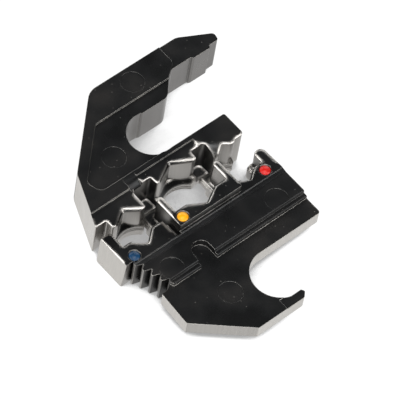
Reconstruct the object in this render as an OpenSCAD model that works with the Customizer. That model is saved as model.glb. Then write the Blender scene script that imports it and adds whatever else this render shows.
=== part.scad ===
// Crimping die set for insulated terminals: two interlocking halves and three colour dots.
// Both halves lie on the plane z = 0. X runs along the row of nests from blue to red,
// Y is the closing direction and Z is the direction a terminal is laid into its nest.
// The origin is the centre of the upper half's round seat, on the plane the set lies on.
// Outline heights are measured from the upper half's mating edge, lengths from its left foot.

/* [Shared layout] */
// Centre of the blue nest along the row
blue_nest_x = 5.7; // [5.4:0.05:6]
// Centre of the yellow nest along the row
yellow_nest_x = 17.75; // [17.5:0.05:18]
// Centre of the red nest along the row
red_nest_x = 27; // [26.8:0.05:27.2]
// How far the lower half is drawn back from the upper half at rest
rest_opening = 1.3; // [0:0.1:6]

/* [Upper half body] */
// Thickness of the upper half
upper_thickness = 7.4; // [6.5:0.1:8]
// Radius of the round seat in the upper slot
upper_seat_radius = 4.25; // [3.8:0.05:4.3]
// Centre of the upper seat along the row
upper_seat_x = 19.3; // [19:0.1:20]
// Centre of the upper seat above the mating edge
upper_seat_y = 9.15; // [9.1:0.05:9.3]
// Upper side of the lip below the slot
lip_top = 4.95; // [4.9:0.05:5.3]
// Right end of the lip
lip_end = 31.35; // [31:0.05:32]
// Height of the arm's straight back
arm_back = 21.6; // [20.5:0.1:23]
// Underside of the arm next to the seat
arm_neck = 13.15; // [13:0.05:13.3]
// Underside of the arm's raised middle stretch
arm_middle = 17; // [16.5:0.1:17.5]
// Underside of the arm's locating pad near the tip
arm_pad = 16.6; // [16.2:0.1:16.8]
// Underside of the arm's tip
arm_tip_under = 17.1; // [16.9:0.1:17.5]
// Reach of the arm's tip along the row
arm_tip_x = 40.9; // [39.5:0.1:42]
// Height where the slanted end of the arm meets the tip
arm_tip_y = 18.55; // [18.2:0.05:19]
// Where the arm's back starts to slant towards the tip
arm_slant_x = 35; // [33:0.1:37]
// Where the shoulder's slant meets the arm's back
shoulder_x = 16.2; // [15:0.1:18]
// Where the left side bends into the shoulder's slant
elbow_x = 4.1; // [3.5:0.1:5]
// Height of that bend
elbow_y = 10.1; // [9:0.1:11]

/* [Upper half front face] */
// Depth of the sunk web around the seat
web_depth = 0.35; // [0.2:0.05:1]
// Upper border of the sunk web
web_top = 15.9; // [15.2:0.1:16.2]
// Lower border of the sunk web
web_bottom = 5.1; // [5:0.05:6]
// Left end of the sunk web
web_left = 4.2; // [3.8:0.1:6]
// Depth of the arm's sunk tip
tip_step_depth = 0.25; // [0.1:0.05:0.6]
// Where the sunk tip starts
tip_step_x = 31.3; // [31:0.1:33]
// Depth of the sunk field in front of the blue nose
blue_field_depth = 0.35; // [0.2:0.05:1]
// Upper border of the blue field
blue_field_top = 2.8; // [2.4:0.1:3.4]
// Depth of the sunk field in front of the yellow nose
yellow_field_depth = 0.3; // [0.15:0.05:0.8]
// Upper border of the yellow field
yellow_field_top = 4.15; // [3.8:0.05:4.5]
// Width of the yellow field
yellow_field_width = 12.1; // [11.5:0.1:12.6]
// Left end of the rolled rim above the red nose
red_roll_x = 24.5; // [24:0.1:25]
// Height of that rolled rim's upper edge at its left end
red_roll_y = 3.15; // [2.9:0.05:3.4]
// How steeply that upper edge falls to the right, in degrees
red_roll_turn = 36.5; // [30:0.5:40]
// Radius of that rolled rim
red_roll_radius = 2.8; // [2.6:0.1:3.4]
// Left end of the rolled rim over the left finger valley
valley_roll_x = 8.6; // [8.2:0.1:9]
// Height of that rolled rim's upper edge
valley_roll_y = 4.85; // [4.6:0.05:5]
// Radius of that rolled rim
valley_roll_radius = 2.5; // [2.3:0.1:3]

/* [Upper noses] */
// Roof of the notch that receives the lower half's left post
post_notch_roof = 0.4; // [0.2:0.05:0.6]
// Half the width of the blue nose
blue_nose_half = 3.45; // [3.2:0.05:3.55]
// Height of the blue nose's edges
blue_nose_edge = -1.3; // [-1.5:0.05:-1]
// Height of the blue roof's ridge
blue_roof_ridge = 0.25; // [0:0.05:0.6]
// Half the width of the blue roof
blue_roof_half = 2.45; // [2:0.05:2.8]
// Half the width of the yellow nose
yellow_nose_half = 4.2; // [3.9:0.05:4.4]
// Height of the yellow nose's edges
yellow_nose_edge = 1; // [0.8:0.05:1.4]
// Height of the yellow roof's ridge
yellow_roof_ridge = 2.75; // [2.4:0.05:3]
// Half the width of the yellow roof
yellow_roof_half = 3.4; // [2.8:0.05:3.5]
// Half the width of the red nose
red_nose_half = 2.05; // [1.8:0.05:2.1]
// Height of the red nose's edges
red_nose_edge = -0.35; // [-0.6:0.05:-0.1]
// Height of the red roof's ridge
red_roof_ridge = 0.6; // [0.3:0.05:0.9]
// Half the width of the red roof
red_roof_half = 1.25; // [1:0.05:1.5]
// Roof of the valleys that receive the yellow fingers
finger_valley_roof = 2.65; // [2.5:0.05:2.9]
// Thickness of the ledges that close the finger valleys at the back
valley_ledge_thickness = 1; // [0.6:0.1:1.2]
// Lower edge of those ledges
valley_ledge_edge = 0.25; // [0.2:0.05:0.6]
// Height of the blue nose's edges in the tight rear zone
blue_rear_edge = -1.9; // [-2.1:0.05:-1.8]
// Height of the yellow nose's edges in the rear zone
yellow_rear_edge = 0.1; // [-0.2:0.05:0.3]
// Height of the red nose's edges in the rear zone
red_rear_edge = -1.1; // [-1.3:0.05:-1]
// Length of the blue nose's tight rear zone, from the back face
blue_rear_length = 3.7; // [3.4:0.1:4.2]
// Length of the yellow nose's tight rear zone
yellow_rear_length = 2.5; // [2:0.1:3]
// Length of the red nose's tight rear zone
red_rear_length = 3; // [2.5:0.1:3.5]
// Radius of the blue nose's rear arc
blue_arc_radius = 4.2; // [4:0.05:4.4]
// Height of the blue rear arc's top
blue_arc_top = -0.75; // [-0.9:0.05:-0.6]
// Radius of the yellow nose's rear arc
yellow_arc_radius = 4.3; // [4.1:0.05:4.6]
// Height of the yellow rear arc's top
yellow_arc_top = 1.5; // [1.2:0.05:1.9]
// Radius of the red nose's rear arc
red_arc_radius = 2; // [1.9:0.05:2.2]
// Height of the red rear arc's top
red_arc_top = -0.1; // [-0.2:0.05:0]
// Length of the funnel in front of each rear arc
funnel_length = 1.4; // [1:0.1:2]
// How much wider the funnel's radius gets over that length
funnel_widening = 0.8; // [0.5:0.05:1]
// Number of ring grooves in each rear arc
ring_count = 2; // [1:1:3]
// Spacing of the ring grooves
ring_pitch = 0.45; // [0.4:0.05:0.5]
// Depth of the ring grooves
ring_depth = 0.1; // [0.06:0.01:0.15]
// Width of the ring grooves
ring_width = 0.16; // [0.1:0.02:0.24]
// Chamfer on the front rim of the roofs
roof_chamfer = 0.45; // [0.2:0.05:0.6]

/* [Lower half body] */
// Thickness of the lower half at its nest blocks
block_thickness = 5.8; // [5.4:0.1:6.2]
// Thickness of the grooved base behind the blocks
base_thickness = 5.2; // [4.8:0.1:5.4]
// Thickness of the ledge at the base's foot
ledge_thickness = 3.9; // [3.5:0.1:4.2]
// Thickness of the hook plate
hook_thickness = 2.6; // [2.2:0.05:3]
// Front level of the yellow block above the plane the set lies on
yellow_block_front = 7.4; // [7:0.1:7.8]
// Left end of the lower half
lower_left = -0.1; // [-0.3:0.05:0.1]
// Right end of the lower half
lower_right = 33; // [32.6:0.1:33.4]
// Height where the blocks end and the bevel down to the base starts
block_foot = -6.85; // [-7.2:0.05:-6.6]
// Height where that bevel ends
base_head = -7.8; // [-8:0.05:-7.5]
// Height where the base ends and the ledge starts
base_foot = -12.4; // [-12.7:0.05:-12.1]
// Height where the ledge ends and the hook plate starts
ledge_foot = -13.2; // [-13.6:0.05:-13]
// Width of the crisp edges at both ends of that bevel
bevel_edge = 0.12; // [0.05:0.01:0.14]
// Rounding of the base's and the ledge's front edges
step_round = 0.3; // [0.1:0.05:0.35]

/* [Blocks and posts] */
// Width of the left post
left_post_width = 1.95; // [1.6:0.05:2.1]
// Top of the left post
left_post_top = 0.15; // [-0.1:0.05:0.3]
// Right end of the blue block
blue_block_end = 10.1; // [9.9:0.05:10.4]
// Half the width of the pocket between the yellow fingers
yellow_pocket_half = 5.45; // [5.3:0.05:5.6]
// Thickness of the yellow fingers
finger_thickness = 1.15; // [0.95:0.05:1.2]
// Top of the yellow fingers
finger_top = -0.1; // [-0.4:0.05:0.2]
// Bottom edge of the yellow block's raised front
yellow_block_foot = -6.4; // [-6.7:0.05:-6.1]
// Inner side of the right post
right_post_inner = 30.9; // [30.6:0.05:31.1]
// Top of the right post
right_post_top = -1.8; // [-2.1:0.05:-1.6]
// Depth of the channel between the blue and yellow blocks
channel_depth = 1.6; // [0.8:0.1:2.4]

/* [Lower nests] */
// Height of the blue nest's deepest line
blue_vee_bottom = -4.9; // [-5.1:0.05:-4.7]
// Half the width of the blue nest's vee
blue_vee_half = 2.4; // [2.2:0.05:2.6]
// Height of the blue nest's left shoulder
blue_vee_left = -3.05; // [-3.3:0.05:-2.9]
// Height of the blue nest's right shoulder
blue_vee_right = -2.9; // [-3.1:0.05:-2.8]
// Height of the yellow nest's deepest line
yellow_vee_bottom = -5.3; // [-5.5:0.05:-5.1]
// Half the width of the yellow nest's vee
yellow_vee_half = 3.05; // [2.8:0.05:3.3]
// Height of the yellow nest's shoulders
yellow_vee_side = -3.6; // [-3.9:0.05:-3.4]
// Height of the red nest's deepest line
red_vee_bottom = -5.4; // [-5.6:0.05:-5.2]
// Half the width of the red nest's vee
red_vee_half = 1.9; // [1.6:0.05:2.2]
// Height of the red nest's left shoulder
red_vee_left = -4.5; // [-4.7:0.05:-4.3]
// Height of the red nest's right shoulder
red_vee_right = -4; // [-4.2:0.05:-3.7]
// Chamfer on the front rim of the lower nests
rim_chamfer = 0.4; // [0.3:0.05:0.6]
// Length of the tight rear zone, from the back face
floor_rear_length = 2.4; // [2:0.1:2.8]
// Gap between a nose and the rear walls beside it
nose_clearance = 0.2; // [0.15:0.01:0.25]
// Top of the thick rear walls between the nests, in front of the upper half's ledges
rear_wall_top = 1.9; // [1.5:0.05:2]
// Gap along Z between the upper half's ledges and these walls
ledge_gap = 0.2; // [0.15:0.05:0.3]
// Step along the front edges of the rear walls
rear_wall_step = 0.28; // [0.15:0.01:0.4]
// Left end of the right post's rear wall
rear_post_inner = 29.9; // [29.6:0.05:30.2]
// Radius of the blue nest's rear floor
blue_floor_radius = 6; // [6:0.5:8]
// Height of the blue rear floor's deepest line
blue_floor_bottom = -4.1; // [-4.3:0.05:-4]
// Radius of the yellow nest's rear floor
yellow_floor_radius = 11; // [10:0.5:13]
// Height of the yellow rear floor's deepest line
yellow_floor_bottom = -4.3; // [-4.5:0.05:-4.1]
// Radius of the red nest's rear floor
red_floor_radius = 6; // [5:0.5:8]
// Height of the red rear floor's deepest line
red_floor_bottom = -4.5; // [-4.7:0.05:-4.3]

/* [Ridges and arch] */
// Number of grip ridges on the left of the base
ridge_count = 4; // [3:1:5]
// Spacing of the ridges along Y
ridge_pitch = 1.55; // [1.4:0.05:1.7]
// Width of the flat land on each ridge
ridge_land = 0.45; // [0.3:0.05:0.6]
// Height of the ridges
ridge_height = 1; // [0.6:0.05:1.2]
// Crest of the first ridge along the row
ridge_x = 1.1; // [0.8:0.05:1.4]
// Crest of the first ridge along Y
ridge_y = -6.9; // [-7.1:0.05:-6.6]
// Shift of each next crest along the row
ridge_shift = 0.56; // [0.4:0.02:0.7]
// Centre of the arch notch along the row
arch_x = 11.9; // [11.5:0.1:12.3]
// Radius of the arch notch
arch_radius = 1.7; // [1.3:0.05:2]
// Height of the arch notch's centre
arch_y = -11; // [-11.4:0.05:-10.6]

/* [Hook plate] */
// Radius of the round seat in the hook
hook_seat_radius = 4.7; // [4.4:0.05:4.8]
// Centre of the hook's seat along the row
hook_seat_x = 19.6; // [19.2:0.1:20]
// Height of the hook's seat centre
hook_seat_y = -21.35; // [-21.4:0.01:-21.3]
// Lower side of the hook plate's straight bar
bar_foot = -16.65; // [-16.7:0.05:-16.4]
// Left side of the hook plate at the ledge
hook_left_x = 1.8; // [1.4:0.1:2.4]
// Where the left side bends to the slant
hook_bend_x = 1.4; // [1:0.1:1.8]
// Height of that bend
hook_bend_y = -19.8; // [-20.4:0.1:-19.2]
// Bottom of the hook plate
hook_bottom = -27.4; // [-28:0.1:-26.8]
// Where the slant meets the bottom
hook_slant_x = 10.2; // [9.6:0.1:11]
// Where the bottom bends to the hook's point
hook_toe_x = 20; // [19.4:0.1:20.6]
// Reach of the hook's point
hook_point_x = 20.9; // [20.5:0.1:21.4]
// Upper side of the hook's point
hook_point_y = -25.9; // [-26.2:0.1:-25.6]
// Depth of the sunk hook point
hook_step_depth = 0.12; // [0.05:0.01:0.3]

/* [Marks and dots] */
// Radius of the round ejector marks
mark_radius = 2.08; // [1.5:0.02:2.4]
// Depth of the ejector marks
mark_depth = 0.05; // [0.03:0.01:0.15]
// Mark on the upper half's arm along the row
arm_mark_x = 23.2; // [22.8:0.1:23.6]
// Height of the arm's mark
arm_mark_y = 18.8; // [18.4:0.1:19.2]
// Mark on the upper half's sunk web along the row
web_mark_x = 11.2; // [10.8:0.1:11.6]
// Height of the web's mark
web_mark_y = 9.2; // [8.8:0.1:9.6]
// Left mark on the lower half's base along the row
left_mark_x = 5.7; // [5.4:0.1:6]
// Right mark on the lower half's base along the row
right_mark_x = 28.2; // [27.8:0.1:28.6]
// Height of the base's two marks
base_mark_y = -10.9; // [-11.2:0.1:-10.6]
// Mark on the hook plate along the row
hook_mark_x = 10.95; // [10.5:0.05:11.4]
// Height of the hook plate's mark
hook_mark_y = -19.5; // [-19.9:0.1:-19.1]
// Radius of the colour dots
dot_radius = 0.93; // [0.7:0.01:1]
// Radial clearance between a dot and its hole
dot_clearance = 0.02; // [0.01:0.01:0.05]
// Depth of the dot holes
dot_hole_depth = 1.2; // [0.8:0.1:1.6]
// Height of a dot's straight side above the hole's floor
dot_side = 1.12; // [0.8:0.02:1.4]
// Height of a dot's domed head
dot_dome = 0.36; // [0.2:0.02:0.6]
// Radius of the shallow well around each dot
dot_well_radius = 1.12; // [1:0.02:1.3]
// Depth of the shallow well
dot_well_depth = 0.12; // [0.05:0.01:0.3]
// Radius of the dimple on a dot's head
dot_dimple_radius = 0.22; // [0.1:0.02:0.3]
// Depth of the dimple
dot_dimple_depth = 0.1; // [0.04:0.02:0.16]
// Height of the blue and red dots along Y
outer_dot_y = -5.6; // [-5.9:0.05:-5.3]
// Height of the yellow dot along Y
yellow_dot_y = -5.2; // [-5.4:0.05:-5]
// Blue dot along the row
blue_dot_x = 2.2; // [1.9:0.05:2.5]
// Yellow dot along the row
yellow_dot_x = 12.6; // [12.4:0.05:12.8]
// Red dot along the row
red_dot_x = 30.3; // [30:0.05:30.6]

/* [Hidden] */
corner_steps = 5;
round_steps = 96;
overcut = 1;
// the drafted left end leans out by this much over the block's thickness
end_draft = 0.5;
block_left = lower_left - end_draft;
// nose and valley sides
notch_wall = blue_nest_x - blue_nose_half;
blue_nose_right = blue_nest_x + blue_nose_half;
yellow_nose_left = yellow_nest_x - yellow_nose_half;
yellow_nose_right = yellow_nest_x + yellow_nose_half;
red_nose_left = red_nest_x - red_nose_half;
red_nose_right = red_nest_x + red_nose_half;
valley_draft = 0.12;
// lower half levels, measured from the plane the set lies on
lower_middle = block_thickness / 2;
base_front = lower_middle + base_thickness / 2;
hook_front = lower_middle + hook_thickness / 2;
left_post_right = lower_left + left_post_width;
pocket_left = yellow_nest_x - yellow_pocket_half;
pocket_right = yellow_nest_x + yellow_pocket_half;
yellow_block_left = pocket_left - finger_thickness;
yellow_block_right = pocket_right + finger_thickness;
// where the rear walls' high part starts, and their top behind the upper half's ledges
wall_foot = valley_ledge_thickness + ledge_gap;
ledge_wall_top = valley_ledge_edge - 0.55;
upper_color = [0.13, 0.13, 0.14];
lower_color = [0.15, 0.15, 0.16];

// points of the arc that rounds one corner of an outline
function corner_arc(before, at, after, radius) =
    let(
        toward = (before - at) / norm(before - at),
        onward = (after - at) / norm(after - at),
        half = acos(max(-1, min(1, toward * onward))) / 2,
        middle = toward + onward,
        centre = at + middle / norm(middle) * radius / sin(half),
        start = at + toward * radius / tan(half) - centre,
        end = at + onward * radius / tan(half) - centre,
        from = atan2(start.y, start.x),
        sweep = (atan2(end.y, end.x) - from + 540) % 360 - 180
    )
    [for (s = [0:corner_steps]) centre + radius * [cos(from + sweep * s / corner_steps),
                                                   sin(from + sweep * s / corner_steps)]];

// closed outline from corners given as [x, y, rounding radius]
function rounded(corners) =
    let(count = len(corners))
    [for (i = [0:count - 1])
        let(
            before = corners[(i + count - 1) % count],
            at = corners[i],
            after = corners[(i + 1) % count]
        )
        each at.z == 0 ? [[at.x, at.y]]
             : corner_arc([before.x, before.y], [at.x, at.y], [after.x, after.y], at.z)];

// outline coordinates to the shared frame with its origin in the upper seat
module place() {
    translate([-upper_seat_x, -upper_seat_y, 0]) children();
}

// the lower half and its dots, drawn back from the upper half
module place_lower() {
    place() translate([0, -rest_opening, 0]) children();
}

// roof-shaped corners of one nose, from left to right
function nose(middle, half, edge, roof_half, ridge, ridge_round) = [
    [middle - half, edge, 0.22],
    [middle - roof_half, edge, 0.25],
    [middle, ridge, ridge_round],
    [middle + roof_half, edge, 0.25],
    [middle + half, edge, 0.22],
];

module upper_outline() {
    polygon(rounded(concat(
        [[0, post_notch_roof, 0.12], [notch_wall, post_notch_roof, 0.35]],
        nose(blue_nest_x, blue_nose_half, blue_nose_edge, blue_roof_half, blue_roof_ridge, 0.5),
        [[blue_nose_right + valley_draft, finger_valley_roof, 1.2],
         [yellow_nose_left - valley_draft, finger_valley_roof, 0.4]],
        nose(yellow_nest_x, yellow_nose_half, yellow_nose_edge, yellow_roof_half, yellow_roof_ridge, 0.6),
        [[yellow_nose_right + valley_draft, finger_valley_roof, 0.35],
         [red_nose_left - valley_draft, finger_valley_roof, 0.8]],
        nose(red_nest_x, red_nose_half, red_nose_edge, red_roof_half, red_roof_ridge, 0.3),
        [[red_nose_right + 0.3, 0, 0.15],
         [lip_end, 0, 0.6],
         [lip_end, lip_top, 0.4],
         [upper_seat_x, lip_top, 0],
         [upper_seat_x, arm_neck + 0.2, 0],
         [upper_seat_x + 1.05, arm_neck + 0.2, 0],
         [upper_seat_x + 1.2, arm_neck, 0],
         [26.1, arm_neck, 2],
         [28.95, 16.2, 1.6],
         [30.2, arm_middle, 0.8],
         [34.45, arm_middle, 0],
         [34.6, arm_middle - 0.3, 0],
         [35, arm_pad, 0],
         [38.3, arm_pad, 0],
         [38.6, arm_tip_under, 0],
         [arm_tip_x - 0.3, arm_tip_under, 0.5],
         [arm_tip_x, arm_tip_y, 0.7],
         [arm_slant_x, arm_back, 2.6],
         [shoulder_x, arm_back, 3.4],
         [elbow_x, elbow_y, 3]]
    )));
}

// sunk web around the seat; it is open towards the slot
module sunk_web() {
    polygon(rounded([
        [lip_end - 1.4, web_bottom, 0],
        [lip_end - 1.4, web_top, 0],
        [12.8, web_top, 1],
        [web_left, 7.7, 1.3],
        [web_left + 0.9, web_bottom, 1.3],
    ]));
}

// sunk end of the arm
module sunk_tip() {
    polygon(rounded([
        [tip_step_x, arm_back + overcut, 0],
        [tip_step_x, arm_middle + 0.9, 1.3],
        [tip_step_x - 1.6, arm_middle - 0.2, 0],
        [tip_step_x - 1.6, arm_pad - 1.5, 0],
        [arm_tip_x + overcut, arm_pad - 1.5, 0],
        [arm_tip_x + overcut, arm_back + overcut, 0],
    ]));
}

// cuts an outline into the upper half's front face
module front_cut(depth) {
    translate([0, 0, upper_thickness - depth]) linear_extrude(depth + overcut) children();
}

// bell mouth on the front rim of one roof
module roof_mouth(middle, half, edge, ridge, front) {
    hull() {
        translate([0, 0, front - roof_chamfer]) linear_extrude(0.01)
            polygon([[middle - half, edge], [middle, ridge], [middle + half, edge]]);
        translate([0, 0, front]) linear_extrude(0.01)
            polygon([[middle - half - roof_chamfer, edge],
                     [middle, ridge + roof_chamfer],
                     [middle + half + roof_chamfer, edge]]);
    }
}

// tight zone of one nose towards the back face: a funnel, then a round arc with ring grooves
module rear_nose(middle, half, edge, ridge, rear_edge, length, radius, top) {
    difference() {
        linear_extrude(length) polygon(rounded([
            [middle - half, edge + 0.4, 0],
            [middle - half, rear_edge, 0.25],
            [middle + half, rear_edge, 0.25],
            [middle + half, edge + 0.4, 0],
            [middle, ridge + 0.4, 0],
        ]));
        translate([middle, top - radius, 0]) rotate_extrude($fn = 2 * round_steps) polygon(concat(
            [[0, -overcut], [radius, -overcut]],
            [for (i = [1:1:ring_count])
                let(level = length - funnel_length - (ring_count + 1 - i) * ring_pitch)
                each [[radius, level],
                      [radius + ring_depth, level],
                      [radius + ring_depth, level + ring_width],
                      [radius, level + ring_width]]],
            [[radius, length - funnel_length],
             [radius + funnel_widening, length],
             [radius + funnel_widening, length + overcut],
             [0, length + overcut]]
        ));
    }
}

// thin ledge that closes one finger valley at the back, behind the lower half's rear wall
module valley_ledge(left, right) {
    translate([left - valley_draft, valley_ledge_edge, 0])
        cube([right - left + 2 * valley_draft,
              finger_valley_roof + valley_draft - valley_ledge_edge, valley_ledge_thickness]);
}

// rolled rim: what a long round edge takes away from the front face; it falls off towards -Y
module rolled_rim(x, y, turn, length, radius) {
    translate([x, y, upper_thickness - radius]) rotate([0, 0, -turn]) difference() {
        translate([0, -radius, 0]) cube([length, radius, radius + overcut]);
        translate([-overcut, 0, 0]) rotate([0, 90, 0])
            cylinder(h = length + 2 * overcut, r = radius, $fn = round_steps);
    }
}

module upper_die_half() {
    color(upper_color) place() difference() {
        union() {
            linear_extrude(upper_thickness) upper_outline();
            rear_nose(blue_nest_x, blue_nose_half, blue_nose_edge, blue_roof_ridge,
                      blue_rear_edge, blue_rear_length, blue_arc_radius, blue_arc_top);
            rear_nose(yellow_nest_x, yellow_nose_half, yellow_nose_edge, yellow_roof_ridge,
                      yellow_rear_edge, yellow_rear_length, yellow_arc_radius, yellow_arc_top);
            rear_nose(red_nest_x, red_nose_half, red_nose_edge, red_roof_ridge,
                      red_rear_edge, red_rear_length, red_arc_radius, red_arc_top);
            valley_ledge(blue_nose_right, yellow_nose_left);
            valley_ledge(yellow_nose_right, red_nose_left);
        }
        translate([upper_seat_x, upper_seat_y, -overcut])
            cylinder(h = upper_thickness + 2 * overcut, r = upper_seat_radius, $fn = round_steps);
        front_cut(web_depth) sunk_web();
        front_cut(tip_step_depth) sunk_tip();
        front_cut(blue_field_depth) translate([-overcut, blue_nose_edge - overcut])
            square([blue_nose_right + 0.25 + overcut, blue_field_top - blue_nose_edge + overcut]);
        front_cut(yellow_field_depth) translate([yellow_nest_x - yellow_field_width / 2, -overcut])
            square([yellow_field_width, yellow_field_top + overcut]);
        // rolled rims above the red nose and over the left finger valley, beside the yellow field
        intersection() {
            rolled_rim(red_roll_x - 3, red_roll_y + 3 * tan(red_roll_turn), red_roll_turn, 12,
                       red_roll_radius);
            translate([yellow_nest_x + yellow_field_width / 2, -2 * overcut, 0])
                cube([6.5, 2 * arm_neck, 2 * upper_thickness]);
        }
        intersection() {
            rolled_rim(valley_roll_x, valley_roll_y, 0, 6, valley_roll_radius);
            translate([blue_nose_right + 0.1, -overcut, 0])
                cube([yellow_nest_x - yellow_field_width / 2 - blue_nose_right - 0.1,
                      2 * arm_neck, 2 * upper_thickness]);
        }
        roof_mouth(blue_nest_x, blue_roof_half, blue_nose_edge, blue_roof_ridge,
                   upper_thickness - blue_field_depth);
        roof_mouth(yellow_nest_x, yellow_roof_half, yellow_nose_edge, yellow_roof_ridge,
                   upper_thickness - yellow_field_depth);
        ejector_mark(arm_mark_x, arm_mark_y, upper_thickness);
        ejector_mark(web_mark_x, web_mark_y, upper_thickness - web_depth);
    }
}

// shallow round mark of an ejector pin in a face at the height front
module ejector_mark(x, y, front) {
    translate([x, y, front - mark_depth])
        cylinder(h = overcut, r = mark_radius, $fn = round_steps);
}

// floor of one lower nest's front zone: flat shoulders with a vee between them
function vee(middle, half, left_y, bottom, right_y, vee_round) = [
    [middle - half, left_y, vee_round / 2],
    [middle, bottom, vee_round],
    [middle + half, right_y, vee_round / 2],
];

// bell mouth on the front rim of one lower nest
module nest_mouth(left, left_y, middle, half, bottom, right, right_y, front) {
    for (corners = [[[left, 3], [left, left_y], [right, right_y], [right, 3]],
                    vee(middle, half, left_y, bottom, right_y, 0)])
        hull() {
            translate([0, 0, front - rim_chamfer]) linear_extrude(0.01)
                polygon([for (c = corners) [c.x, c.y]]);
            translate([0, -rim_chamfer, front]) linear_extrude(0.02)
                polygon([for (c = corners) [c.x, c.y]]);
        }
}

// foot and ridges that both zones of the lower half's outline share, from right to left
function lower_foot() = concat(
    [[lower_right, block_foot, 0.3],
     [lower_right, ledge_foot, 0],
     [ridge_x + ridge_count * ridge_shift + ridge_height, ledge_foot, 0]],
    [for (i = [ridge_count - 1:-1:0]) each [
        [ridge_x + i * ridge_shift + ridge_height + ridge_shift / 2,
         ridge_y - (i + 0.42) * ridge_pitch, 0],
        [ridge_x + i * ridge_shift, ridge_y - i * ridge_pitch - ridge_land / 2, 0.1],
        [ridge_x + i * ridge_shift, ridge_y - i * ridge_pitch + ridge_land / 2, 0.1],
        [ridge_x + (i - 0.5) * ridge_shift + ridge_height,
         ridge_y - (i - 0.42) * ridge_pitch, 0]]],
    [[block_left, ridge_y + 0.5, 0.3]]
);

// blocks, base and ledge in the wide front zone
module lower_front_outline() {
    polygon(rounded(concat(
        [[block_left, left_post_top, 0.6],
         [left_post_right, left_post_top, 0.6],
         [left_post_right, blue_vee_left, 0.3]],
        vee(blue_nest_x, blue_vee_half, blue_vee_left, blue_vee_bottom, blue_vee_right, 0.7),
        [[blue_block_end, blue_vee_right, 0.3],
         [blue_block_end, blue_vee_right - 0.6, 0],
         [yellow_block_left + 0.3, blue_vee_right - 0.6, 0],
         [yellow_block_left + 0.3, yellow_block_foot, 0],
         [yellow_block_right - 0.3, yellow_block_foot, 0],
         [yellow_block_right - 0.3, red_vee_left, 0]],
        vee(red_nest_x + 0.2, red_vee_half, red_vee_left, red_vee_bottom, red_vee_right, 0.6),
        [[right_post_inner, red_vee_right, 0.6],
         [right_post_inner, right_post_top, 0.7],
         [lower_right - 0.2, right_post_top, 1]],
        lower_foot()
    )));
}

// the same in the tight rear zone, where thick walls fill the valleys between the noses
module lower_rear_outline(clearance, wall_top) {
    blue_wall_left = blue_nose_right + clearance;
    blue_wall_right = yellow_nose_left - clearance;
    red_wall_left = yellow_nose_right + clearance;
    red_wall_right = red_nose_left - clearance;
    post_inner = rear_post_inner + clearance - nose_clearance;
    polygon(rounded(concat(
        [[block_left, left_post_top, 0.6],
         [notch_wall - clearance, left_post_top, 0.6],
         [notch_wall - clearance, blue_floor_bottom - overcut, 0],
         [blue_wall_left, blue_floor_bottom - overcut, 0],
         [blue_wall_left, wall_top, 0.8],
         [blue_wall_right, wall_top, 0.8],
         [blue_wall_right, yellow_floor_bottom - overcut, 0],
         [red_wall_left, yellow_floor_bottom - overcut, 0],
         [red_wall_left, wall_top, 0.8],
         [red_wall_right, wall_top, 0.8],
         [red_wall_right, red_floor_bottom - overcut, 0],
         [post_inner, red_floor_bottom - overcut, 0],
         [post_inner, right_post_top, 0.6],
         [lower_right - 0.2, right_post_top, 1]],
        lower_foot()
    )));
    rear_floor(blue_nest_x, blue_nose_half + clearance, blue_floor_radius, blue_floor_bottom);
    rear_floor(yellow_nest_x, yellow_nose_half + clearance, yellow_floor_radius,
               yellow_floor_bottom);
    rear_floor((red_wall_right + post_inner) / 2, (post_inner - red_wall_right) / 2,
               red_floor_radius, red_floor_bottom);
}

// round floor of one nest in the rear zone
module rear_floor(middle, half, radius, bottom) {
    difference() {
        translate([middle - half - 0.01, bottom - 2 * overcut])
            square([2 * half + 0.02, 2 * overcut + radius - sqrt(radius * radius - half * half)]);
        translate([middle, bottom + radius]) circle(r = radius, $fn = 2 * round_steps);
    }
}

// the lower half's steps seen from its right end, as [Y, Z] around its middle plane
module lower_section() {
    for (side = [0, 1]) mirror([0, side]) polygon(rounded([
        [overcut, 0, 0],
        [overcut, block_thickness / 2, 0],
        [block_foot, block_thickness / 2, 0],
        [block_foot - bevel_edge, block_thickness / 2 - bevel_edge, 0],
        [base_head + bevel_edge, base_thickness / 2 + bevel_edge / 2, 0],
        [base_head, base_thickness / 2, 0],
        [base_foot, base_thickness / 2, step_round],
        [base_foot, ledge_thickness / 2, 0.15],
        [ledge_foot, ledge_thickness / 2, step_round],
        [ledge_foot, 0, 0],
    ]));
}

// raised block with the two fingers beside the yellow nest, in front of the rear zone
module yellow_block() {
    translate([0, 0, floor_rear_length]) linear_extrude(yellow_block_front - floor_rear_length)
        polygon(rounded(concat(
            [[yellow_block_left, yellow_block_foot, 0.2],
             [yellow_block_right, yellow_block_foot, 0.2],
             [yellow_block_right, finger_top, 0.55],
             [pocket_right, finger_top, 0.55],
             [pocket_right, yellow_vee_side, 0.4]],
            [for (i = [2:-1:0]) vee(yellow_nest_x, yellow_vee_half, yellow_vee_side,
                                    yellow_vee_bottom, yellow_vee_side, 0.9)[i]],
            [[pocket_left, yellow_vee_side, 0.4],
             [pocket_left, finger_top, 0.55],
             [yellow_block_left, finger_top, 0.55]]
        )));
}

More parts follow.
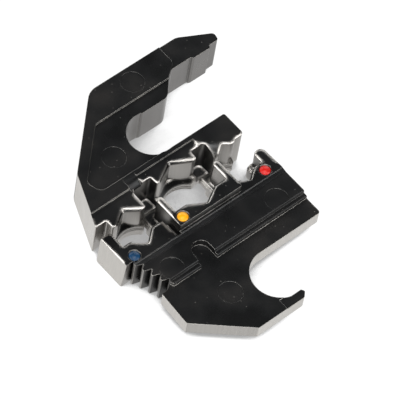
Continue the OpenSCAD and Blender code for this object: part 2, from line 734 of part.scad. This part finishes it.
// hook-shaped plate that seats the set in the lower jaw
module hook_plate() {
    translate([0, 0, lower_middle - hook_thickness / 2]) difference() {
        linear_extrude(hook_thickness) polygon(rounded([
            [ridge_x + ridge_count * ridge_shift + ridge_height, base_foot, 0],
            [hook_left_x + 1, ledge_foot, 0],
            [hook_left_x, ledge_foot, 0.2],
            [hook_bend_x, hook_bend_y, 0.5],
            [hook_slant_x, hook_bottom, 0.4],
            [hook_toe_x, hook_bottom, 0.5],
            [hook_point_x, hook_point_y - 0.6, 0.3],
            [hook_point_x - 0.35, hook_point_y, 0.3],
            [hook_seat_x, hook_point_y, 0],
            [hook_seat_x, bar_foot, 0],
            [lower_right, bar_foot, 0.5],
            [lower_right, base_foot, 0],
        ]));
        // round seat, down to the upper side of the point
        intersection() {
            translate([hook_seat_x, hook_seat_y, -overcut])
                cylinder(h = hook_thickness + 2 * overcut, r = hook_seat_radius,
                         $fn = round_steps);
            translate([0, hook_point_y, -2 * overcut])
                cube([lower_right, -hook_point_y, hook_thickness + 4 * overcut]);
        }
        translate([hook_seat_x - 3.3, hook_bottom - overcut, hook_thickness - hook_step_depth])
            cube([6, 3, overcut]);
        ejector_mark(hook_mark_x, hook_mark_y, hook_thickness);
    }
}

// hole and shallow well of one colour dot
module dot_hole(x, y, front) {
    translate([x, y, front - dot_hole_depth])
        cylinder(h = dot_hole_depth + overcut, r = dot_radius + dot_clearance, $fn = round_steps);
    translate([x, y, front - dot_well_depth])
        cylinder(h = overcut, r = dot_well_radius, $fn = round_steps);
}

module lower_die_half() {
    color(lower_color) place_lower() difference() {
        union() {
            intersection() {
                union() {
                    linear_extrude(wall_foot)
                        lower_rear_outline(nose_clearance, ledge_wall_top);
                    translate([0, 0, wall_foot])
                        linear_extrude(floor_rear_length - rear_wall_step - wall_foot)
                        lower_rear_outline(nose_clearance, rear_wall_top);
                    translate([0, 0, wall_foot]) linear_extrude(floor_rear_length - wall_foot)
                        lower_rear_outline(nose_clearance + rear_wall_step,
                                           rear_wall_top - rear_wall_step);
                    translate([0, 0, floor_rear_length])
                        linear_extrude(block_thickness - floor_rear_length) lower_front_outline();
                }
                translate([block_left - overcut, 0, lower_middle]) rotate([90, 0, 90])
                    linear_extrude(lower_right - block_left + 2 * overcut) lower_section();
            }
            yellow_block();
            hook_plate();
        }
        nest_mouth(left_post_right, blue_vee_left, blue_nest_x, blue_vee_half, blue_vee_bottom,
                   blue_block_end + 0.02, blue_vee_right, block_thickness);
        nest_mouth(pocket_left, yellow_vee_side, yellow_nest_x, yellow_vee_half,
                   yellow_vee_bottom, pocket_right, yellow_vee_side, yellow_block_front);
        nest_mouth(yellow_block_right, red_vee_left, red_nest_x + 0.2, red_vee_half,
                   red_vee_bottom, right_post_inner, red_vee_right, block_thickness);
        // channel between the blue and yellow blocks
        translate([blue_block_end, block_foot, block_thickness - channel_depth])
            cube([yellow_block_left - blue_block_end, -block_foot, overcut + channel_depth]);
        // arch notch, open towards the hook plate
        translate([arch_x, arch_y, hook_front])
            cylinder(h = block_thickness, r = arch_radius, $fn = round_steps);
        translate([arch_x - arch_radius, ledge_foot - overcut, hook_front])
            cube([2 * arch_radius, arch_y - ledge_foot + overcut, block_thickness]);
        // drafted left end, which leans out towards the back
        translate([lower_left, block_foot - 2 * overcut, block_thickness])
            rotate([0, atan(end_draft / block_thickness), 0])
            translate([-3, 0, -2 * block_thickness])
            cube([3, 3 * overcut - block_foot, 3 * block_thickness]);
        ejector_mark(left_mark_x, base_mark_y, base_front);
        ejector_mark(right_mark_x, base_mark_y, base_front);
        dot_hole(blue_dot_x, outer_dot_y, block_thickness);
        dot_hole(yellow_dot_x, yellow_dot_y, yellow_block_front);
        dot_hole(red_dot_x, outer_dot_y, block_thickness);
    }
}

// domed enamel plug with a small dimple; it stands on its hole's floor
module dot(x, y, front) {
    dome_radius = (dot_radius * dot_radius + dot_dome * dot_dome) / (2 * dot_dome);
    place_lower() translate([x, y, front - dot_hole_depth]) difference() {
        union() {
            cylinder(h = dot_side, r = dot_radius, $fn = round_steps);
            rotate_extrude($fn = round_steps) polygon(concat(
                [[0, dot_side - 0.1], [dot_radius, dot_side - 0.1]],
                [for (s = [0:8])
                    let(turn = asin(dot_radius / dome_radius) * (1 - s / 8))
                    [dome_radius * sin(turn),
                     dot_side + dot_dome - dome_radius + dome_radius * cos(turn)]]
            ));
        }
        translate([0, 0, dot_side + dot_dome - dot_dimple_depth])
            cylinder(h = overcut, r1 = dot_dimple_radius / 2, r2 = dot_dimple_radius * 4,
                     $fn = round_steps);
    }
}

module blue_dot() {
    color([0.1, 0.35, 0.7]) dot(blue_dot_x, outer_dot_y, block_thickness);
}

module yellow_dot() {
    color([0.95, 0.78, 0.05]) dot(yellow_dot_x, yellow_dot_y, yellow_block_front);
}

module red_dot() {
    color([0.85, 0.08, 0.1]) dot(red_dot_x, outer_dot_y, block_thickness);
}

upper_die_half();
lower_die_half();
blue_dot();
yellow_dot();
red_dot();
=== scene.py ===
import bpy
import numpy as np
from mathutils import Matrix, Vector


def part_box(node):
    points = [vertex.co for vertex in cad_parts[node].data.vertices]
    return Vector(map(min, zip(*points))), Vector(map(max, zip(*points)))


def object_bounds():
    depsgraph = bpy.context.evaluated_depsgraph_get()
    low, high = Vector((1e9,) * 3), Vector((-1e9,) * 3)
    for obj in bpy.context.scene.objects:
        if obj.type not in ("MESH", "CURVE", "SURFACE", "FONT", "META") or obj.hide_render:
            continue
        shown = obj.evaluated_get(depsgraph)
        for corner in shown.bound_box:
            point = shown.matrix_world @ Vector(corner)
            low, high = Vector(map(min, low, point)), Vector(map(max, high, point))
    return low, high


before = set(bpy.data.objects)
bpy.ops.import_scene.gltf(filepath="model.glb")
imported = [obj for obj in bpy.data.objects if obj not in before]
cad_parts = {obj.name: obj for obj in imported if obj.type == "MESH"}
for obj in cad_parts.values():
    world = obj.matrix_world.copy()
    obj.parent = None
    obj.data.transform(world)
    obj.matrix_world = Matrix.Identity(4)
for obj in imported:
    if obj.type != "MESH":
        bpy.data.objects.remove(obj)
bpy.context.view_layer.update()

# The camera stands where the photograph was taken from, high over the corner where the blue
# nest and the hook plate meet. A long lens keeps the parallel edges nearly parallel, and the
# camera aims at the picture's centre, so the lens needs no shift.
PICTURE_SIDE = 400
PIXELS_PER_METRE = 6051
SEAT_PIXEL = (147.7, 157.6)  # the centre of the upper half's round seat, the frame's origin
AZIMUTH, ELEVATION, ROLL = np.radians((-139.72, 55.43, 11.0))
CAMERA_DISTANCE = 0.636
SENSOR_WIDTH = 36

def placed(right, up, back, where):
    """The matrix that puts an object at where, with its three axes along right, up and back."""
    matrix = np.eye(4)
    matrix[:3] = np.column_stack((right, up, back, where))
    return Matrix(matrix.tolist())

away = np.array([np.cos(ELEVATION) * np.cos(AZIMUTH),
                 np.cos(ELEVATION) * np.sin(AZIMUTH),
                 np.sin(ELEVATION)])
level_right = np.cross(-away, [0, 0, 1])
level_right /= np.linalg.norm(level_right)
level_up = np.cross(level_right, -away)
picture_right = np.cos(ROLL) * level_right + np.sin(ROLL) * level_up
picture_up = np.cos(ROLL) * level_up - np.sin(ROLL) * level_right
aim_right = (PICTURE_SIDE / 2 - SEAT_PIXEL[0]) / PIXELS_PER_METRE
aim_up = (SEAT_PIXEL[1] - PICTURE_SIDE / 2) / PIXELS_PER_METRE
stand = away * CAMERA_DISTANCE + aim_right * picture_right + aim_up * picture_up

camera_data = bpy.data.cameras.new("photo_camera")
camera_data.sensor_width = SENSOR_WIDTH
camera_data.lens = SENSOR_WIDTH * CAMERA_DISTANCE * PIXELS_PER_METRE / PICTURE_SIDE
camera_data.clip_start = 0.01
camera_data.clip_end = 10
camera = bpy.data.objects.new("photo_camera", camera_data)
bpy.context.scene.collection.objects.link(camera)
camera.matrix_world = placed(picture_right, picture_up, away, stand)
bpy.context.scene.camera = camera

# Both halves are moulded steel with a thin black oxide skin, which still mirrors its
# surroundings and so goes nearly black under the dim ceiling. The profile's walls are ground
# to size, which leaves them grey, with fine upright lines, and use has polished the rims, along
# which a painted highlight also spreads onto the faces. Painted shade darkens the walls deep in
# the nests, and a painted sheen lightens the left end and the hook plate's front rim.
BLACK_OXIDE = "#4d4e4f"
BROWN_OXIDE = "#504b47"
OXIDE_AND_PAINTED_SHADE = "#141414"
GROUND_STEEL = "#a09d99"
DULL_STEEL = "#747270"
PAINTED_SHEEN_STEEL = "#c3c0bb"
RUBBED_EDGE = "#a5a29c"
WORN_RIM_AND_PAINTED_HALO = "#f0ece6"
DUST = "#8f8b84"

# Sizes of the patterns in millimetres. The real grain and grinding lines are finer, and they are
# drawn as coarse as shows. A line is 25 times as long as it is wide.
BLOTCH_MM = 6.25
GRAIN_MM = 0.1923
LINE_MM = 0.2778
LINE_SQUEEZE = 0.04
DUST_CELL_MM = 1.0

# Shares of the surface: the most that brown oxide, grinding lines and dust cover, and that the
# darkest colour covers on slopes or as thick oxide in grooves, and the least that is left of the
# ground steel under the painted shade deep in the nests, of the rims' roll between blotches, and
# of the rubbing around a mark.
MOST_BROWN = 0.5
MOST_LINES = 0.08
MOST_DUST = 0.6
MOST_ON_SLOPES = 0.75
MOST_IN_GROOVES = 0.75
LEAST_GROUND = 0.3
LEAST_ROLL = 0.6
LEAST_RUBBED = 0.3

# Radii of the edges in metres: rubbed by handling, or rolled over at the nests' rims, where the
# roll reaches further into the face than into the wall, and fades out at the zone's ends. Then
# the distance within which other walls darken a wall with painted shade, and the relief's depth.
RUBBED_RADIUS = 0.0003
ROLL_ON_WALL = 0.0002
ROLL_ON_FACE = 0.0008
ROLL_FADE = 0.0004
PAINTED_SHADE_REACH = 0.008
RELIEF_DEPTH = 0.00003

# The rims lie close behind the tips of the upper half's noses and of the lower half's fingers.
nose_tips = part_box("upper_die_half")[0][1]
finger_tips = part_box("lower_die_half")[1][1]
UPPER_RIMS = (nose_tips - 0.00015, nose_tips + 0.00525)
LOWER_RIMS = (finger_tips - 0.00695, finger_tips - 0.00035)

# Centres of the round moulding marks on the faces, and of the dots' wells, which are 1.2 mm deep,
# and the radii between which each goes over into what lies around it.
UPPER_MARKS = [(0.0039, 0.00965, 0.0074), (-0.0081, 0.00005, 0.0071)]
LOWER_MARKS = [(-0.0136, -0.02135, 0.0055), (0.0089, -0.02135, 0.0055),
               (-0.00835, -0.02995, 0.0042)]
MARK_RADII = (0.0023, 0.0026)
WELL_RADII = (0.0013, 0.0016)
WELL_DEPTH = 0.0012
dot_wells = []
for dot_name in ("blue_dot", "yellow_dot", "red_dot"):
    low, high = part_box(dot_name)
    dot_wells.append(((low[0] + high[0]) / 2, (low[1] + high[1]) / 2, low[2] + WELL_DEPTH))

# Zones along x or y, each with where it starts and where it is full: the border above the blue
# nose and the first valley, the upper half's right end, the left end with the grip on it, and
# the hook plate.
LOW_BORDER_X = (-0.0074, -0.0077)
LOW_BORDER_Y = (-0.0073, -0.007)
RIGHT_END_X = (0.0108, 0.0111)
RIGHT_END_Y = (-0.0088, -0.0085)
LEFT_END_X = (-0.0145, -0.015)
GRIP_FRONT_Y = (-0.0235, -0.0232)
GRIP_BACK_Y = (-0.0168, -0.0171)
HOOK_PLATE_Y = (-0.024, -0.0245)

def linear(hex_colour):
    """An sRGB colour written as #rrggbb, as the linear RGBA that Blender's sockets take."""
    parts = np.array([int(hex_colour[i:i + 2], 16) / 255 for i in (1, 3, 5)])
    low = parts / 12.92
    high = ((parts + 0.055) / 1.055) ** 2.4
    return (*np.where(parts <= 0.04045, low, high).tolist(), 1.0)

def add(tree, kind, values):
    """Adds a node and gives its outputs.

    Each value is a link where it is another node's output, and otherwise fills the socket or
    property of its name; a number names a socket by its place. Properties come before the
    sockets that they switch on. In a Map Range, places 1 and 2 hold the range that comes in and
    3 and 4 the one that goes out, 0 to 1 unless given; in a Mix of colours 6 and 7 hold the two.
    """
    node = tree.nodes.new(kind)
    for name, value in values.items():
        if isinstance(value, bpy.types.NodeSocket):
            tree.links.new(value, node.inputs[name])
        elif isinstance(name, int) or name in node.inputs:
            node.inputs[name].default_value = value
        else:
            setattr(node, name, value)
    return node.outputs

def within(tree, *borders):
    """The product of one ramp for each border, which is 1 inside all of them.

    A border is a value, where that value counts as 0, and where it counts as 1.
    """
    share = 1.0
    for value, outside, inside in borders:
        ramp = add(tree, "ShaderNodeMapRange", {0: value, 1: outside, 2: inside})[0]
        share = add(tree, "ShaderNodeMath", {"operation": "MULTIPLY", 0: share, 1: ramp})[0]
    return share

def bare_material(name):
    """A material whose node tree is still empty."""
    material = bpy.data.materials.new(name)
    material.use_nodes = True
    material.node_tree.nodes.clear()
    return material

def blackened_steel(name, offset, rims, wells, marks):
    """Blackened steel; offset moves the patterns, so that the halves don't repeat each other.

    The rims run between two places along y. Handling and terminals have rolled their edges over
    and polished them, but not around the wells, and a painted highlight spreads from the rims into
    the faces. The steps of the marks are too low for that.
    """
    material = bare_material(name)
    tree = material.node_tree
    where = add(tree, "ShaderNodeTexCoord", {})["Object"]
    x, y = add(tree, "ShaderNodeSeparateXYZ", {0: where})[:2]
    flat = add(tree, "ShaderNodeNewGeometry", {})["True Normal"]
    own = add(tree, "ShaderNodeVectorTransform",
              {"vector_type": "NORMAL", "convert_from": "WORLD", "convert_to": "OBJECT",
               0: flat})[0]
    facing_x, facing_y, facing_z = add(tree, "ShaderNodeSeparateXYZ", {0: own})
    level = add(tree, "ShaderNodeMath", {"operation": "ABSOLUTE", 0: facing_z})[0]
    face = within(tree, (level, 0.2, 0.45))

    # blotches in the oxide, a fine grain on the faces and grinding lines on the walls, with values
    # that mostly lie between 0.3 and 0.7
    moved = add(tree, "ShaderNodeMapping", {"Vector": where, "Location": offset})[0]
    blotch = add(tree, "ShaderNodeTexNoise",
                 {"Vector": moved, "Scale": 1000 / BLOTCH_MM, "Detail": 2.0,
                  "Roughness": 0.5})["Fac"]
    grain = add(tree, "ShaderNodeTexNoise",
                {"Vector": moved, "Scale": 1000 / GRAIN_MM, "Detail": 3.0,
                 "Roughness": 0.6})["Fac"]
    upright = add(tree, "ShaderNodeMapping", {"Vector": moved, "Scale": (1, 1, LINE_SQUEEZE)})[0]
    lines = add(tree, "ShaderNodeTexNoise",
                {"Vector": upright, "Scale": 1000 / LINE_MM, "Detail": 3.0})["Fac"]

    # half of the cells hold a speck of dust in the middle, a tenth of a cell in radius
    cells = add(tree, "ShaderNodeTexVoronoi", {"Vector": moved, "Scale": 1000 / DUST_CELL_MM})
    chance = add(tree, "ShaderNodeSeparateColor", {"Color": cells["Color"]})[0]
    dusty = add(tree, "ShaderNodeMath", {"operation": "GREATER_THAN", 0: chance, 1: 0.5})[0]
    spot = add(tree, "ShaderNodeMapRange",
               {0: cells["Distance"], 1: 0.04, 2: 0.1, 3: MOST_DUST, 4: 0.0})[0]
    speck = add(tree, "ShaderNodeMath", {"operation": "MULTIPLY", 0: spot, 1: dusty})[0]

    # The rims' roll, polish and painted highlight stop at the low border and at the right end.
    low_border = within(tree, (x, *LOW_BORDER_X), (y, *LOW_BORDER_Y))
    right_end = within(tree, (x, *RIGHT_END_X), (y, *RIGHT_END_Y))
    clear = []
    for well in wells:
        gap = add(tree, "ShaderNodeVectorMath",
                  {"operation": "DISTANCE", 0: where, 1: well})["Value"]
        clear.append((gap, *WELL_RADII))
    rim = within(tree, (y, rims[0], rims[0] + ROLL_FADE), (y, rims[1] + ROLL_FADE, rims[1]),
                 (low_border, 1, 0), (right_end, 1, 0), *clear)
    patchy = add(tree, "ShaderNodeMapRange", {0: blotch, 1: 0.35, 2: 0.55, 3: LEAST_ROLL})[0]
    rim = add(tree, "ShaderNodeMath", {"operation": "MULTIPLY", 0: rim, 1: patchy})[0]

    # how far the other edges are rubbed, which the marks' steps hardly are
    rubbed = add(tree, "ShaderNodeMapRange", {0: blotch, 1: 0.3, 2: 0.7, 3: 0.35, 4: 0.8})[0]
    for mark in marks:
        gap = add(tree, "ShaderNodeVectorMath",
                  {"operation": "DISTANCE", 0: where, 1: mark})["Value"]
        spared = add(tree, "ShaderNodeMapRange",
                     {0: gap, 1: MARK_RADII[0], 2: MARK_RADII[1], 3: LEAST_RUBBED})[0]
        rubbed = add(tree, "ShaderNodeMath", {"operation": "MULTIPLY", 0: rubbed, 1: spared})[0]

    # The edges themselves: where the rounded normal leans away from the flat one. The lean is 1 in
    # the middle of a flat and 0.7 at a square edge.
    roll = add(tree, "ShaderNodeMapRange", {0: face, 3: ROLL_ON_WALL, 4: ROLL_ON_FACE})[0]
    roll = add(tree, "ShaderNodeMath", {"operation": "MULTIPLY", 0: rim, 1: roll})[0]
    radius = add(tree, "ShaderNodeMath",
                 {"operation": "MULTIPLY_ADD", 0: rubbed, 1: RUBBED_RADIUS, 2: roll})[0]
    rounded = add(tree, "ShaderNodeBevel", {"samples": 8, "Radius": radius})[0]
    lean = add(tree, "ShaderNodeVectorMath",
               {"operation": "DOT_PRODUCT", 0: rounded, 1: flat})["Value"]
    edge = within(tree, (lean, 0.985, 0.85), (rubbed, 0, 1))
    # on the faces along the rims, a painted highlight that fades out across the roll
    polish_and_halo_on_face = within(tree, (lean, 1, 0.86), (face, 0, 1), (rim, 0, 1))
    worn_wall = within(tree, (lean, 0.82, 0.73), (face, 1, 0), (rim, 0, 1))
    worn_and_halo = add(tree, "ShaderNodeMath", {"operation": "ADD", 0: polish_and_halo_on_face, 1: worn_wall})[0]

    # The walls around the nests are lighter than the others. What faces left at the left end, and
    # the hook plate's rim where it faces the front, carry a painted sheen: lighter steel where
    # they catch the light.
    nests = within(tree, (y, rims[0] - 0.004, rims[0] - 0.002),
                   (y, rims[1] + 0.004, rims[1] + 0.001))
    ground = add(tree, "ShaderNodeMix", {"data_type": "RGBA", 0: nests, 6: linear(DULL_STEEL),
                                         7: linear(GROUND_STEEL)})[2]
    left_end = within(tree, (x, *LEFT_END_X))
    to_left = within(tree, (facing_x, -0.8, -0.9))
    grip = within(tree, (left_end, 0, 1), (y, *GRIP_FRONT_Y), (y, *GRIP_BACK_Y))
    bright_end = within(tree, (to_left, 0, 1), (left_end, 0, 1), (grip, 1, 0))
    bright_hook = within(tree, (y, *HOOK_PLATE_Y), (facing_y, -0.4, -0.97))
    for bright in (bright_end, bright_hook):
        ground = add(tree, "ShaderNodeMix", {"data_type": "RGBA", 0: bright, 6: ground,
                                             7: linear(PAINTED_SHEEN_STEEL)})[2]

    # The oxide stays thick in the grip's grooves. Deep in the nests, where the part's own walls
    # close a wall in, painted shade darkens it, and faces that tilt, such as bevels, rolls and
    # funnels, are darker too.
    groove = within(tree, (grip, 0, 1), (to_left, 1, 0))
    groove = add(tree, "ShaderNodeMath", {"operation": "MULTIPLY", 0: groove,
                                          1: MOST_IN_GROOVES})[0]
    ground = add(tree, "ShaderNodeMix", {"data_type": "RGBA", 0: groove, 6: ground,
                                         7: linear(OXIDE_AND_PAINTED_SHADE)})[2]
    scratched = add(tree, "ShaderNodeMapRange", {0: lines, 1: 0.35, 2: 0.65,
                                                 4: MOST_LINES})[0]
    ground = add(tree, "ShaderNodeMix", {"data_type": "RGBA", 0: scratched, 6: ground,
                                         7: linear(BLACK_OXIDE)})[2]
    # painted shade: the walls turn darker the more closely the part's own walls close them in
    open_air = add(tree, "ShaderNodeAmbientOcclusion",
                   {"samples": 8, "only_local": True, "Distance": PAINTED_SHADE_REACH})["AO"]
    outside_painted_shade = add(tree, "ShaderNodeMapRange", {0: open_air, 1: 0.35, 2: 0.9,
                                             3: LEAST_GROUND})[0]
    ground = add(tree, "ShaderNodeMix", {"data_type": "RGBA", 0: outside_painted_shade, 6: linear(OXIDE_AND_PAINTED_SHADE),
                                         7: ground})[2]
    browned = add(tree, "ShaderNodeMapRange", {0: blotch, 1: 0.45, 2: 0.75,
                                               4: MOST_BROWN})[0]
    skin = add(tree, "ShaderNodeMix", {"data_type": "RGBA", 0: browned, 6: linear(BLACK_OXIDE),
                                       7: linear(BROWN_OXIDE)})[2]
    slope = add(tree, "ShaderNodeMapRange", {0: level, 1: 0.98, 2: 0.88,
                                             4: MOST_ON_SLOPES})[0]
    skin = add(tree, "ShaderNodeMix", {"data_type": "RGBA", 0: slope, 6: skin,
                                       7: linear(OXIDE_AND_PAINTED_SHADE)})[2]
    skin = add(tree, "ShaderNodeMix", {"data_type": "RGBA", 0: face, 6: ground, 7: skin})[2]

    # rubbed edges, polished rims with their painted highlight, and dust lie over all of it
    for share, colour in ((edge, RUBBED_EDGE), (worn_and_halo, WORN_RIM_AND_PAINTED_HALO), (speck, DUST)):
        skin = add(tree, "ShaderNodeMix", {"data_type": "RGBA", 0: share, 6: skin,
                                           7: linear(colour)})[2]
    satin = add(tree, "ShaderNodeMapRange", {0: blotch, 1: 0.3, 2: 0.7, 3: 0.25, 4: 0.38})[0]
    rough = add(tree, "ShaderNodeMath",
                {"operation": "MULTIPLY_ADD", 0: speck, 1: 0.5, 2: satin})[0]
    metal = add(tree, "ShaderNodeMath", {"operation": "SUBTRACT", 0: 0.98, 1: speck})[0]
    scratches = add(tree, "ShaderNodeMath", {"operation": "MULTIPLY", 0: lines, 1: 0.3})[0]
    relief = add(tree, "ShaderNodeMix",
                 {"data_type": "FLOAT", 0: face, 2: scratches, 3: grain})[0]
    bump = add(tree, "ShaderNodeBump", {"Strength": 0.2, "Distance": RELIEF_DEPTH,
                                        "Height": relief, "Normal": rounded})[0]
    surface = add(tree, "ShaderNodeBsdfPrincipled", {"Base Color": skin, "Metallic": metal,
                                                     "Roughness": rough, "Normal": bump})[0]
    add(tree, "ShaderNodeOutputMaterial", {"Surface": surface})
    return material

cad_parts["upper_die_half"].material_slots[0].material = blackened_steel(
    "blackened_steel_upper", (0, 0, 0), UPPER_RIMS, [], UPPER_MARKS)
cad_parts["lower_die_half"].material_slots[0].material = blackened_steel(
    "blackened_steel_lower", (0.11, 0.07, 0.03), LOWER_RIMS, dot_wells, LOWER_MARKS)

# The three dots are drops of coloured enamel, set in shallow wells of the lower half. They have
# a soft gloss and a slightly uneven top, and the colour deepens where the enamel lies thicker.
UNEVEN_MM = 0.7143
UNEVEN_DEPTH = 0.00005

def enamel(name, colour, deep):
    """Enamel that changes from colour to its deeper shade in patches."""
    material = bare_material(name)
    tree = material.node_tree
    where = add(tree, "ShaderNodeTexCoord", {})["Object"]
    uneven = add(tree, "ShaderNodeTexNoise",
                 {"Vector": where, "Scale": 1000 / UNEVEN_MM, "Detail": 3.0})["Fac"]
    thicker = within(tree, (uneven, 0.4, 0.7))
    base = add(tree, "ShaderNodeMix", {"data_type": "RGBA", 0: thicker, 6: linear(colour),
                                       7: linear(deep)})[2]
    bump = add(tree, "ShaderNodeBump",
               {"Strength": 0.1, "Distance": UNEVEN_DEPTH, "Height": uneven})[0]
    surface = add(tree, "ShaderNodeBsdfPrincipled", {"Roughness": 0.35, "IOR": 1.45,
                                                     "Base Color": base, "Normal": bump})[0]
    add(tree, "ShaderNodeOutputMaterial", {"Surface": surface})
    return material

for colour_name, colour, deep in (("blue", "#0a3a5e", "#082f4c"),
                                  ("yellow", "#fab304", "#f09c00"),
                                  ("red", "#d41c15", "#b8120b")):
    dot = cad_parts[colour_name + "_dot"]
    dot.material_slots[0].material = enamel("enamel_" + colour_name, colour, deep)

# The set lies on a sweep of matt white paper. The camera sees it as plain white, with only part
# of its soft shadow, and metal sees it as white too. Where walls close it in on all sides, as
# in the nests, painted shade turns it grey for the camera.
PAPER = "#f2f2f2"
FLOOR_HALF = 1.5
WALLS_REACH = 0.012
SHADE_IN_NESTS = 0.4
OPEN_PAPER = 1.08
WHITE_SHARE = 0.9

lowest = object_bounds()[0][2]
floor_mesh = bpy.data.meshes.new("floor")
floor_mesh.from_pydata([(-FLOOR_HALF, -FLOOR_HALF, lowest), (FLOOR_HALF, -FLOOR_HALF, lowest),
                        (FLOOR_HALF, FLOOR_HALF, lowest), (-FLOOR_HALF, FLOOR_HALF, lowest)],
                       [], [(0, 1, 2, 3)])
floor = bpy.data.objects.new("floor", floor_mesh)
bpy.context.scene.collection.objects.link(floor)

paper = bare_material("white_sweep")
tree = paper.node_tree
matt = add(tree, "ShaderNodeBsdfDiffuse", {"Color": linear(PAPER)})[0]
open_sky = add(tree, "ShaderNodeAmbientOcclusion", {"samples": 16, "Distance": WALLS_REACH})["AO"]
to_camera = add(tree, "ShaderNodeMapRange",
                {0: open_sky, 1: 0.36, 2: 0.45, 3: SHADE_IN_NESTS, 4: OPEN_PAPER})[0]
ray = add(tree, "ShaderNodeLightPath", {})
strength = add(tree, "ShaderNodeMix",
               {"data_type": "FLOAT", 0: ray["Is Camera Ray"], 2: 1.0, 3: to_camera})[0]
plain = add(tree, "ShaderNodeEmission", {"Color": (1, 1, 1, 1), "Strength": strength})[0]
seen = ray["Is Camera Ray"]
for kind_of_ray in ("Is Glossy Ray", "Is Transmission Ray"):
    seen = add(tree, "ShaderNodeMath", {"operation": "MAXIMUM", 0: seen, 1: ray[kind_of_ray]})[0]
share = add(tree, "ShaderNodeMath", {"operation": "MULTIPLY", 0: seen, 1: WHITE_SHARE})[0]
blend = add(tree, "ShaderNodeMixShader", {0: share, 1: matt, 2: plain})[0]
add(tree, "ShaderNodeOutputMaterial", {"Surface": blend})
floor_mesh.materials.append(paper)

# Soft studio light: five windows stand low around the set and light its walls, and a softbox
# hangs nearly above, for the rims. The room is dim, so that the upward faces stay dark, and
# the camera sees it as white.
ROOM = "#b9b9b9"
ROOM_STRENGTH = 0.12

for name, where, size, watts in (
        ("window_left", (-0.6, 0.18, 0.33), (0.5, 0.42), 2.6),
        ("window_front_left", (-0.42, -0.5, 0.33), (0.45, 0.42), 2.2),
        ("window_front", (0.26, -0.58, 0.33), (0.5, 0.42), 2.6),
        ("window_right", (0.56, 0.32, 0.26), (0.45, 0.24), 1.2),
        ("window_back", (0.1, 0.7, 0.26), (0.6, 0.24), 1.4),
        ("softbox_top", (-0.11, -0.11, 0.62), (0.42, 0.42), 2.1)):
    light = bpy.data.lights.new(name, "AREA")
    light.shape = "RECTANGLE"
    light.size, light.size_y = size
    light.energy = watts
    lamp = bpy.data.objects.new(name, light)
    bpy.context.scene.collection.objects.link(lamp)
    back = np.array(where) / np.linalg.norm(where)
    side = np.cross([0, 0, 1], back)
    side /= np.linalg.norm(side)
    lamp.matrix_world = placed(side, np.cross(back, side), back, where)

world = bpy.data.worlds.new("dim_room")
world.use_nodes = True
tree = world.node_tree
tree.nodes.clear()
room = add(tree, "ShaderNodeBackground", {"Color": linear(ROOM), "Strength": ROOM_STRENGTH})[0]
white = add(tree, "ShaderNodeBackground", {"Color": (1, 1, 1, 1), "Strength": 1.0})[0]
ray = add(tree, "ShaderNodeLightPath", {})
blend = add(tree, "ShaderNodeMixShader", {0: ray["Is Camera Ray"], 1: room, 2: white})[0]
add(tree, "ShaderNodeOutputWorld", {"Surface": blend})
bpy.context.scene.world = world

bpy.context.scene.view_settings.view_transform = "Standard"
